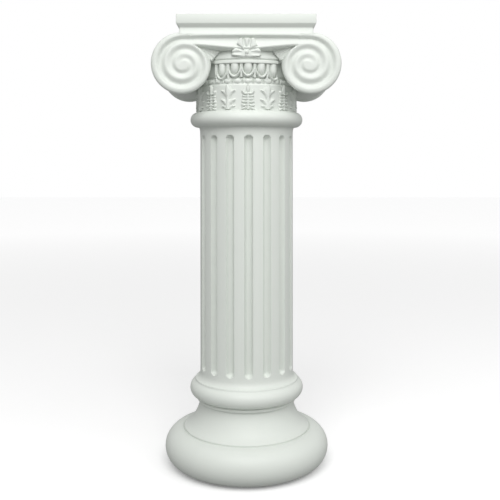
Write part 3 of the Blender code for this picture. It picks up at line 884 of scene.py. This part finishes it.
@dataclass
class Bolster:
    """One pillow of the capital, turned about a line from front to back, with two moulded faces."""

    face: ScrollFace
    offset: float = 32.7
    height: float = 217.0
    waist: float = 12.6
    swell: float = 1.2
    rim: float = 14.95
    rim_depth: float = 3.4
    rim_step: float = 0.1
    side_foot: float = 0.35
    brow: float = 1.6
    eye: float = 0.35
    barrel_gap: float = 0.7
    barrel_rows: int = 12
    step_round: float = 0.9
    step_arc: tuple[float, float, int] = (172, 92, 5)
    corner: float = 0.6
    corner_depth: float = 0.9
    face_slack: float = 0.1
    foot_drop: float = 2.4
    least_side: float = 0.8
    least_face: float = 1.8
    steps: int = 90
    rings: int = 30

    def profile(self) -> np.ndarray:
        """Draws the pillow from the middle of one face to the middle of the other.

        Returns:
            Radius and depth of each point.
        """
        front = self.face.crest
        inner = front - self.rim_depth
        edge = self.rim - self.rim_step
        rows = np.linspace(0.0, inner - self.barrel_gap, self.barrel_rows)
        barrel = np.column_stack([self.waist + self.swell * (rows / inner) ** 2, rows])
        step = arc((edge, inner - self.step_round), (edge - barrel[-1, 0], self.step_round), *self.step_arc)
        side = np.array([[self.rim, inner + self.side_foot], [self.rim, front - self.brow]])
        rings = np.linspace(self.rim, self.eye, self.rings)
        flat = np.column_stack([rings, np.full(self.rings, front)])
        half = np.vstack([barrel, step, side, flat])
        return np.vstack([half[:0:-1] * (1.0, -1.0), half])

    def build(self, side: Side) -> bpy.types.Object:
        """Turns the pillow and moulds both its faces.

        Args:
            side: Which of the two.

        Returns:
            The closed piece.
        """
        centre = (side.value * self.offset, 0.0, self.height)
        piece = turned(f"bolster_{side.name.lower()}", self.profile(), self.steps, Axis.DEPTH, centre)
        points = points_of(piece)
        x, y, z = points.T
        reach = np.hypot(x - centre[0], z - self.height)
        near_edge = np.maximum(reach - self.rim + self.corner, 0.0)
        rounding = self.corner - np.sqrt(np.maximum(self.corner**2 - near_edge**2, 0.0))
        moulded = self.face.front(x, z)
        ahead = np.abs(y)
        on_face = ahead > self.face.crest - self.face_slack
        foot, brow = self.face.crest - self.rim_depth - self.foot_drop, self.face.crest - self.brow
        limit = np.clip(moulded - self.corner, foot + self.least_side, brow)
        squeezed = foot + (ahead - foot) * (limit - foot) / (brow - foot)
        moulded = np.maximum(moulded, foot + self.least_face) - self.corner_depth * rounding
        ahead = np.where(on_face, moulded, np.where(ahead > foot, squeezed, ahead))
        move_points(piece, np.column_stack([x, np.sign(y) * ahead, z]))
        return piece


@dataclass
class Channel:
    """The length of the scroll between the volutes, with its hollow and its lip.

    Its section runs down the rim and the hollow to the lip, round the lip's nose and back.
    """

    face: ScrollFace
    half_length: float = 29.6
    top: float = 231.9
    rim_levels: tuple[float, ...] = (231.3, 230.9, 230.6, 230.35, 230.1, 229.85, 229.6)
    hollow_top: float = 229.4
    hollow_shares: tuple[float, ...] = (0.0, 0.1, 0.22, 0.34, 0.46, 0.58, 0.69, 0.79, 0.88, 0.95, 1.0)
    nose_turns: tuple[float, ...] = (18.0, 36.0, 54.0, 72.0, 90.0)
    rise: float = 1.3
    rise_from: float = 20.0
    rise_over: float = 9.0
    lean: float = 0.27
    lean_from: float = 231.0
    throat: tuple[float, float] = (2.0, 0.5)
    rear: float = 20.0
    rear_drop: float = 1.6
    proud: float = 0.03
    end_sink: float = 0.9
    sinks_from: float = 25.5
    stations: int = 64

    def build(self) -> bpy.types.Object:
        """Lofts the channel's section from one volute to the other.

        Returns:
            The closed piece.
        """
        face = self.face
        high = (self.top, *self.rim_levels)
        nose = np.radians(self.nose_turns)
        nose_start = len(high) + len(self.hollow_shares)
        throat = nose_start + len(nose)
        steps = throat + 3

        def place(around: np.ndarray, along: np.ndarray) -> np.ndarray:
            """Returns each grid point's place round and along the channel."""
            index = np.rint(around * steps).astype(int) % steps
            across = (2 * along - 1) * self.half_length
            lip = face.lip_at(across)
            aside = np.clip((np.abs(across) - self.rise_from) / self.rise_over, 0.0, 1.0)
            lift = self.rise * np.cos(math.pi / 2 * aside) ** 2
            y, z = np.zeros_like(across), np.zeros_like(across)
            for k in range(steps):
                here = index == k
                x, edge = across[here], lip[here]
                nose_y = face.channel(x, edge) - face.lip_round
                if k < len(high):
                    z[here] = high[k] + lift[here] * (k == 0)
                    leaning = self.lean * np.maximum(z[here] - self.lean_from, 0.0)
                    y[here] = face.channel(x, z[here]) - leaning
                elif k < nose_start:
                    z[here] = self.hollow_top + (edge - self.hollow_top) * self.hollow_shares[k - len(high)]
                    y[here] = face.channel(x, z[here])
                elif k < throat:
                    turn = nose[k - nose_start]
                    y[here] = nose_y + face.lip_round * math.cos(turn)
                    z[here] = edge - face.lip_round * math.sin(turn)
                elif k == throat:
                    y[here], z[here] = nose_y - self.throat[0], edge - face.lip_round - self.throat[1]
                elif k == throat + 1:
                    y[here], z[here] = self.rear, edge - face.lip_round - self.rear_drop
                else:
                    y[here], z[here] = self.rear, self.top + lift[here]
            share = np.clip((np.abs(across) - self.sinks_from) / (self.half_length - self.sinks_from), 0, 1)
            front = (index <= throat).astype(float)
            y = y + front * (self.proud - self.end_sink * share * share)
            return np.column_stack([across, -y, z])

        return closed_up(draped("channel_front", steps, self.stations, place))


@dataclass
class ReliefPatch:
    """A piece of carving raised on a plain ground, such as the flower or a corner fan."""

    name: str
    shapes: list[Stroke | Petal]
    left: float
    right: float
    low: float
    high: float
    ground: Callable[[np.ndarray, np.ndarray], np.ndarray]
    rear: float
    cell: float = 0.36
    sink: float = 2.6
    least_relief: float = 0.02
    border: float = 0.001
    push: float = 2.0

    def build(self) -> bpy.types.Object:
        """Raises the shapes on a grid and gives the grid a back and sides.

        Returns:
            The closed piece.
        """
        across = int((self.right - self.left) / self.cell)
        along = int((self.high - self.low) / self.cell)

        def place(u: np.ndarray, v: np.ndarray) -> np.ndarray:
            """Returns each grid point's place on the raised carving."""
            x = self.left + (self.right - self.left) * u
            z = self.low + (self.high - self.low) * v
            raised = np.maximum.reduce([shape.relief(x, z) for shape in self.shapes])
            inside = np.minimum(np.minimum(u, 1.0 - u), np.minimum(v, 1.0 - v))
            y = self.ground(x, z) + raised
            flat = (raised <= self.least_relief) | (inside < self.border)
            return np.column_stack([x, -np.where(flat, self.ground(x, z) - self.sink, y), z])

        piece = draped(self.name, across, along, place)
        bpy.ops.object.mode_set(mode="EDIT")
        bpy.ops.mesh.select_all(action="SELECT")
        back = (0.0, self.push * MM, 0.0)
        bpy.ops.mesh.extrude_region_move(TRANSFORM_OT_translate={"value": back})
        bpy.ops.transform.resize(value=(1.0, 0.0, 1.0), center_override=(0.0, -self.rear * MM, 0.0))
        turn_outwards()
        bpy.ops.object.mode_set(mode="OBJECT")
        return piece


@dataclass
class Abacus:
    """The square slab on top, with its bevel and the neck that seats it on the scroll."""

    half_width: float = 34.7
    half_depth: float = 29.5
    neck: tuple[float, float] = (33.6, 28.5)
    waist: tuple[float, float] = (33.1, 27.9)
    seat: tuple[float, float] = (32.9, 25.6)
    seat_low: float = 226.0
    low: float = 231.0
    bevel_low: float = 234.35
    slab_low: float = 236.15
    top: float = 240.75
    edge: float = 0.5
    edge_segments: int = 3
    edge_angle: float = 20.0

    def build(self) -> bpy.types.Object:
        """Raises neck, bevel and slab from the seat by extruding its top, then rounds the edges.

        Returns:
            The closed piece.
        """
        start_clean()
        tall = self.low - self.seat_low
        size = (2 * self.seat[0] * MM, 2 * self.seat[1] * MM, tall * MM)
        bpy.ops.mesh.primitive_cube_add(size=1.0, location=(0.0, 0.0, (self.low - tall / 2) * MM),
                                        scale=size)
        piece = named("abacus")
        bpy.ops.object.transform_apply(location=True, rotation=True, scale=True)
        bpy.ops.object.mode_set(mode="EDIT")
        bpy.ops.mesh.select_all(action="DESELECT")
        bpy.ops.object.mode_set(mode="OBJECT")
        for face in piece.data.polygons:
            face.select = face.normal.z > LEVEL_NORMAL
        bpy.ops.object.mode_set(mode="EDIT")
        bpy.ops.mesh.select_mode(type="FACE")
        slab = (self.half_width, self.half_depth)
        steps = ((self.low, self.neck), (self.bevel_low, self.waist), (self.slab_low, slab), (self.top, slab))
        height, half = self.low, self.seat
        for next_height, next_half in steps:
            rise = (0.0, 0.0, (next_height - height) * MM)
            bpy.ops.mesh.extrude_region_move(TRANSFORM_OT_translate={"value": rise})
            grow = (next_half[0] / half[0], next_half[1] / half[1], 1.0)
            bpy.ops.transform.resize(value=grow, center_override=(0.0, 0.0, next_height * MM))
            height, half = next_height, next_half
        turn_outwards()
        bpy.ops.object.mode_set(mode="OBJECT")
        bevel = piece.modifiers.new("soft_edges", "BEVEL")
        bevel.width = self.edge * MM
        bevel.segments = self.edge_segments
        bevel.limit_method = "ANGLE"
        bevel.angle_limit = math.radians(self.edge_angle)
        bpy.ops.object.modifier_apply(modifier=bevel.name)
        return piece


@dataclass(frozen=True)
class Flower:
    """The flower that lies over the lip at the middle of the channel."""

    across: tuple[float, float] = (-9.0, 9.0)
    heights: tuple[float, float] = (218.9, 230.1)
    ground: float = 26.95
    rear: float = 20.0

    def patch(self) -> ReliefPatch:
        """Draws the petals, the plate that they lie on and the heart.

        Returns:
            The carving, ready to build.
        """
        petals = [
            Petal(((-1.0, 223.1), (-4.9, 226.5), (-3.1, 229.4), (-1.65, 229.5)), 1.85, 0.8),
            Petal(((0.2, 223.7), (-1.35, 229.5), (2.2, 229.5)), 1.6, 0.7),
            Petal(((1.4, 223.4), (2.55, 229.4), (4.1, 229.5), (6.0, 225.5)), 1.85, 0.8),
            Petal(((-1.3, 222.6), (-5.0, 224.9), (-7.3, 223.4), (-7.0, 222.2)), 1.5, 0.9),
            Petal(((-1.3, 221.6), (-7.1, 221.9), (-6.7, 220.8), (-2.6, 220.2)), 1.25, 0.7),
            Petal(((1.8, 222.7), (6.0, 224.9), (7.5, 223.5), (7.1, 222.0)), 1.5, 0.9),
            Petal(((1.8, 221.5), (7.4, 221.2), (6.8, 220.5), (3.1, 220.0)), 1.25, 0.7),
        ]
        plate = Petal(((-7.4, 223.4), (-5.4, 225.2), (-3.2, 229.2), (3.9, 229.3), (6.1, 225.2), (7.5, 223.4),
                       (7.2, 220.9), (3.0, 219.9), (-3.0, 219.9), (-7.2, 220.9)), 0.85, 0.8)
        heart = [
            Stroke((0.3, 222.4), (0.3, 222.5), (0.3, 222.6), (2.1, 2.3, 2.1), 2.0),
            Stroke((0.2, 220.9), (0.2, 221.0), (0.2, 221.1), (1.4, 1.6, 1.4), 1.5),
        ]
        return ReliefPatch("flower_front", [*petals, plate, *heart], *self.across, *self.heights,
                           lambda x, z: np.full_like(x, self.ground), self.rear)


@dataclass(frozen=True)
class Fan:
    """The leaf fan in the corner beside a volute, whose ground slants back towards the middle."""

    root: tuple[float, float] = (23.4, 225.6)
    tips: tuple[tuple[float, float, float], ...] = (
        (13.6, 223.5, 0.9), (14.7, 222.0, 1.1), (16.1, 220.5, 1.2), (17.6, 219.0, 1.0))
    arch: tuple[float, float] = (3.4, 0.35)
    root_width: float = 0.6
    tip_share: float = 0.9
    rib_height: float = 0.95
    web: tuple[tuple[float, float], ...] = (
        (24.0, 226.2), (13.2, 224.2), (13.4, 222.8), (17.4, 218.6), (21.0, 220.0))
    web_height: float = 0.55
    web_shoulder: float = 0.5
    across: tuple[float, float] = (12.6, 25.2)
    heights: tuple[float, float] = (218.0, 226.9)
    ground: float = 25.6
    slant: float = 0.28
    slant_from: float = 24.0
    rear: float = 17.0

    def patch(self, side: Side) -> ReliefPatch:
        """Draws the ribs and the web between them.

        Args:
            side: Which volute.

        Returns:
            The carving, ready to build.
        """
        out = side.value
        root_x, root_z = self.root
        arch_x, arch_z = self.arch
        shapes: list[Stroke | Petal] = []
        for tip_x, tip_z, wide in self.tips:
            bend = (out * (tip_x + arch_x), (tip_z + root_z) / 2 + arch_z)
            widths = (self.root_width, wide, wide * self.tip_share)
            shapes.append(Stroke((out * root_x, root_z), bend, (out * tip_x, tip_z), widths, self.rib_height))
        web = tuple((out * x, z) for x, z in self.web)
        shapes.append(Petal(web, self.web_height, self.web_shoulder))
        low, high = sorted(out * edge for edge in self.across)
        return ReliefPatch(f"fan_{side.name.lower()}_front", shapes, low, high, *self.heights,
                           lambda x, z: self.ground - self.slant * (self.slant_from - np.abs(x)), self.rear)


@dataclass
class Capital:
    """Everything above the carved neck: pillows, channel, flower, fans and abacus."""

    face: ScrollFace = field(default_factory=ScrollFace)
    flower: Flower = field(default_factory=Flower)
    fan: Fan = field(default_factory=Fan)
    abacus: Abacus = field(default_factory=Abacus)

    def build(self) -> list[bpy.types.Object]:
        """Builds the front of the capital, turns a copy of it to the back, and adds the rest.

        Returns:
            The closed pieces.
        """
        front = [Channel(self.face).build(), self.flower.patch().build()]
        front += [self.fan.patch(side).build() for side in Side]
        back = [turned_to_back(piece) for piece in front]
        pillows = [Bolster(self.face).build(side) for side in Side]
        return front + back + pillows + [self.abacus.build()]


@dataclass(frozen=True)
class CastAlabaster:
    """Pale cast alabaster: satin, faintly cool, with soft clouds and a fine cast grain."""

    body: tuple[float, float, float] = (0.71, 0.745, 0.70)
    cloud: tuple[float, float, float] = (0.68, 0.715, 0.67)
    cloud_scale: float = 55.0
    cloud_detail: float = 3.0
    cloud_distortion: float = 0.6
    grain_scale: float = 900.0
    grain_detail: float = 2.0
    grain_strength: float = 0.12
    grain_depth: float = 0.0002
    roughness: tuple[float, float] = (0.43, 0.55)
    shine: float = 0.5

    def mottle(self) -> bpy.types.NodeTree:
        """Builds the node group of soft clouds and fine grain.

        Returns:
            The group, which puts out the clouds and the grain as values from 0 to 1.
        """
        group = bpy.data.node_groups.new("cast_mottle", "ShaderNodeTree")
        group.interface.new_socket("Vector", in_out="INPUT", socket_type="NodeSocketVector")
        for name, way in (("Cloud Scale", "INPUT"), ("Grain Scale", "INPUT"),
                          ("Cloud", "OUTPUT"), ("Grain", "OUTPUT")):
            group.interface.new_socket(name, in_out=way, socket_type="NodeSocketFloat")
        nodes, links = group.nodes, group.links
        inputs, outputs = nodes.new("NodeGroupInput"), nodes.new("NodeGroupOutput")
        cloud, grain = nodes.new("ShaderNodeTexNoise"), nodes.new("ShaderNodeTexNoise")
        cloud.inputs["Detail"].default_value = self.cloud_detail
        cloud.inputs["Distortion"].default_value = self.cloud_distortion
        grain.inputs["Detail"].default_value = self.grain_detail
        for noise, scale in ((cloud, "Cloud Scale"), (grain, "Grain Scale")):
            links.new(inputs.outputs["Vector"], noise.inputs["Vector"])
            links.new(inputs.outputs[scale], noise.inputs["Scale"])
        links.new(cloud.outputs["Fac"], outputs.inputs["Cloud"])
        links.new(grain.outputs["Fac"], outputs.inputs["Grain"])
        return group

    def material(self) -> bpy.types.Material:
        """Builds the finish.

        Returns:
            The material.
        """
        material = bpy.data.materials.new("cast_alabaster")
        material.use_nodes = True
        nodes, links = material.node_tree.nodes, material.node_tree.links
        shader = nodes["Principled BSDF"]
        shader.inputs["Specular IOR Level"].default_value = self.shine
        place = nodes.new("ShaderNodeTexCoord")
        mottle = nodes.new("ShaderNodeGroup")
        mottle.node_tree = self.mottle()
        mottle.inputs["Cloud Scale"].default_value = self.cloud_scale
        mottle.inputs["Grain Scale"].default_value = self.grain_scale
        links.new(place.outputs["Object"], mottle.inputs["Vector"])
        mix = nodes.new("ShaderNodeMix")
        mix.data_type = "RGBA"
        mix.inputs["A"].default_value = (*self.body, 1.0)
        mix.inputs["B"].default_value = (*self.cloud, 1.0)
        links.new(mottle.outputs["Cloud"], mix.inputs["Factor"])
        links.new(mix.outputs["Result"], shader.inputs["Base Color"])
        rough = nodes.new("ShaderNodeMapRange")
        rough.inputs["To Min"].default_value, rough.inputs["To Max"].default_value = self.roughness
        links.new(mottle.outputs["Grain"], rough.inputs["Value"])
        links.new(rough.outputs["Result"], shader.inputs["Roughness"])
        bump = nodes.new("ShaderNodeBump")
        bump.inputs["Strength"].default_value = self.grain_strength
        bump.inputs["Distance"].default_value = self.grain_depth
        links.new(mottle.outputs["Grain"], bump.inputs["Height"])
        links.new(bump.outputs["Normal"], shader.inputs["Normal"])
        return material


@dataclass
class Casting:
    """The whole column, fused from its turned and carved parts and given its finish."""

    column: TurnedColumn = field(default_factory=TurnedColumn)
    neck: CarvedNeck = field(default_factory=CarvedNeck)
    capital: Capital = field(default_factory=Capital)
    finish: CastAlabaster = field(default_factory=CastAlabaster)
    smooth_angle: float = 38.0

    def fused(self, base: bpy.types.Object, others: list[bpy.types.Object]) -> bpy.types.Object:
        """Joins closed parts that reach into each other into one skin.

        Args:
            base: The part that takes the others in.
            others: The parts joined to it, which are then removed.

        Returns:
            The base, now with all of them in it.
        """
        parts = bpy.data.collections.new("parts")
        for piece in others:
            parts.objects.link(piece)
        pick(base)
        fuse = base.modifiers.new("fuse", "BOOLEAN")
        fuse.operation = "UNION"
        fuse.solver = "EXACT"
        fuse.operand_type = "COLLECTION"
        fuse.collection = parts
        bpy.ops.object.modifier_apply(modifier=fuse.name)
        for piece in others:
            bpy.data.objects.remove(piece, do_unlink=True)
        bpy.data.collections.remove(parts)
        return base

    def build(self) -> bpy.types.Object:
        """Fuses the carved parts and welds the turned lengths into one closed casting.

        Returns:
            The casting, riding on the root and standing for its CAD node.
        """
        body = self.column.build()
        lower, upper = self.neck.build()
        others = self.capital.build()
        for piece in (body, lower, upper, *others):
            log.info("part %s: %d faces", piece.name, len(piece.data.polygons))
        split = min(corner[2] for corner in upper.bound_box) / MM
        head = self.fused(upper, others)
        opened(head, split)
        pick(lower, head, body)
        bpy.ops.object.join()
        body.name = body.data.name = "cast_ionic_column"
        bpy.ops.object.mode_set(mode="EDIT")
        bpy.ops.mesh.select_all(action="SELECT")
        bpy.ops.mesh.remove_doubles(threshold=LENGTH_WELD * MM)
        bpy.ops.mesh.select_all(action="DESELECT")
        bpy.ops.object.mode_set(mode="OBJECT")
        bpy.ops.object.shade_smooth_by_angle(angle=math.radians(self.smooth_angle))
        body.data.materials.clear()
        body.data.materials.append(self.finish.material())
        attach(body, "root")
        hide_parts("ionic_column")
        return body


@dataclass(frozen=True)
class StudioPaint:
    """The plain pale paint of the studio floor.

    Light that the floor throws back is weaker than what the camera sees, and the floor glows softly
    for the camera, more so further off, so that it runs into the backdrop.
    """

    colour: tuple[float, float, float] = (0.95, 0.95, 0.95)
    bounce: tuple[float, float, float] = (0.38, 0.38, 0.38)
    roughness: float = 0.8
    shine: float = 0.1
    glow: tuple[float, float] = (0.17, 0.45)
    glow_reach: tuple[float, float] = (0.1, 1.4)

    def material(self) -> bpy.types.Material:
        """Builds the paint.

        Returns:
            The material.
        """
        material = bpy.data.materials.new("studio_paint")
        material.use_nodes = True
        nodes, links = material.node_tree.nodes, material.node_tree.links
        shader = nodes["Principled BSDF"]
        shader.inputs["Roughness"].default_value = self.roughness
        shader.inputs["Specular IOR Level"].default_value = self.shine
        seen, mix = nodes.new("ShaderNodeLightPath"), nodes.new("ShaderNodeMix")
        mix.data_type = "RGBA"
        mix.inputs["A"].default_value = (*self.bounce, 1.0)
        mix.inputs["B"].default_value = (*self.colour, 1.0)
        links.new(seen.outputs["Is Camera Ray"], mix.inputs["Factor"])
        links.new(mix.outputs["Result"], shader.inputs["Base Color"])
        place, far = nodes.new("ShaderNodeTexCoord"), nodes.new("ShaderNodeVectorMath")
        far.operation = "LENGTH"
        links.new(place.outputs["Object"], far.inputs[0])
        shine, shown = nodes.new("ShaderNodeMapRange"), nodes.new("ShaderNodeMath")
        shine.inputs["From Min"].default_value, shine.inputs["From Max"].default_value = self.glow_reach
        shine.inputs["To Min"].default_value, shine.inputs["To Max"].default_value = self.glow
        links.new(far.outputs["Value"], shine.inputs["Value"])
        shown.operation = "MULTIPLY"
        links.new(shine.outputs["Result"], shown.inputs[0])
        links.new(seen.outputs["Is Camera Ray"], shown.inputs[1])
        links.new(shown.outputs["Value"], shader.inputs["Emission Color"])
        shader.inputs["Emission Strength"].default_value = 1.0
        return material


@dataclass(frozen=True)
class SoftLight:
    """A square soft light aimed at the column, with its side in metres and its power in watts."""

    name: str
    place: tuple[float, float, float]
    size: float
    power: float
    aim: tuple[float, float, float] = (0.0, 0.0, 0.14)

    def hang(self) -> None:
        """Hangs the light at its place and turns it to the column."""
        lamp = bpy.data.lights.new(self.name, "AREA")
        lamp.size = self.size
        lamp.energy = self.power
        stand = bpy.data.objects.new(self.name, lamp)
        stand.location = self.place
        aim = Vector(self.aim) - Vector(self.place)
        stand.rotation_euler = aim.to_track_quat("-Z", "Y").to_euler()
        bpy.context.scene.collection.objects.link(stand)


@dataclass
class Studio:
    """The floor, the camera and the soft lights, in metres."""

    paint: StudioPaint = field(default_factory=StudioPaint)
    floor_size: float = 6.0
    floor_cuts: int = 3
    eye: tuple[float, float, float] = (0.0019, -0.4151, 0.1694)
    tilt: float = 83.2
    lens: float = 54.72
    sensor: float = 36.0
    nearest: float = 0.01
    surround: float = 0.54
    backdrop: float = 1.0
    soft_lights: tuple[SoftLight, ...] = (
        SoftLight("light_front", (0.0, -0.46, 0.58), 0.5, 3.05),
        SoftLight("light_right", (0.5, -0.35, 0.45), 0.4, 0.66))

    def floor(self) -> bpy.types.Object:
        """Lays the floor and gives it the studio paint.

        Returns:
            The floor.
        """
        start_clean()
        bpy.ops.mesh.primitive_plane_add(size=self.floor_size, location=(0.0, 0.0, 0.0))
        floor = named("studio_floor")
        bpy.ops.object.mode_set(mode="EDIT")
        bpy.ops.mesh.subdivide(number_cuts=self.floor_cuts)
        bpy.ops.object.mode_set(mode="OBJECT")
        floor.data.materials.append(self.paint.material())
        return floor

    def camera(self) -> None:
        """Sets up the camera at the photograph's angle."""
        camera = bpy.data.cameras.new("studio_camera")
        camera.lens = self.lens
        camera.sensor_width = self.sensor
        camera.clip_start = self.nearest
        stand = bpy.data.objects.new("studio_camera", camera)
        stand.location = self.eye
        stand.rotation_euler = (math.radians(self.tilt), 0.0, 0.0)
        bpy.context.scene.collection.objects.link(stand)
        bpy.context.scene.camera = stand

    def lights(self) -> None:
        """Lights the room from above and in front, with a pale surround."""
        world = bpy.data.worlds.new("studio_surround")
        world.use_nodes = True
        nodes, links = world.node_tree.nodes, world.node_tree.links
        sky = nodes["Background"]
        sky.inputs["Color"].default_value = (1.0, 1.0, 1.0, 1.0)
        seen, strength = nodes.new("ShaderNodeLightPath"), nodes.new("ShaderNodeMapRange")
        strength.inputs["To Min"].default_value = self.surround
        strength.inputs["To Max"].default_value = self.backdrop
        links.new(seen.outputs["Is Camera Ray"], strength.inputs["Value"])
        links.new(strength.outputs["Result"], sky.inputs["Strength"])
        bpy.context.scene.world = world
        for light in self.soft_lights:
            light.hang()

    def build(self) -> None:
        """Sets up the whole studio."""
        self.floor()
        self.camera()
        self.lights()
        bpy.context.scene.view_settings.view_transform = "Standard"
        log.info("studio ready")


def main() -> None:
    """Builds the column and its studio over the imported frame."""
    logging.basicConfig(level=logging.INFO, format="%(name)s: %(message)s")
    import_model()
    Studio().build()
    column = Casting().build()
    log.info("casting %s: %d faces, %d vertices", column.name, len(column.data.polygons),
             len(column.data.vertices))


if __name__ == "__main__":
    main()
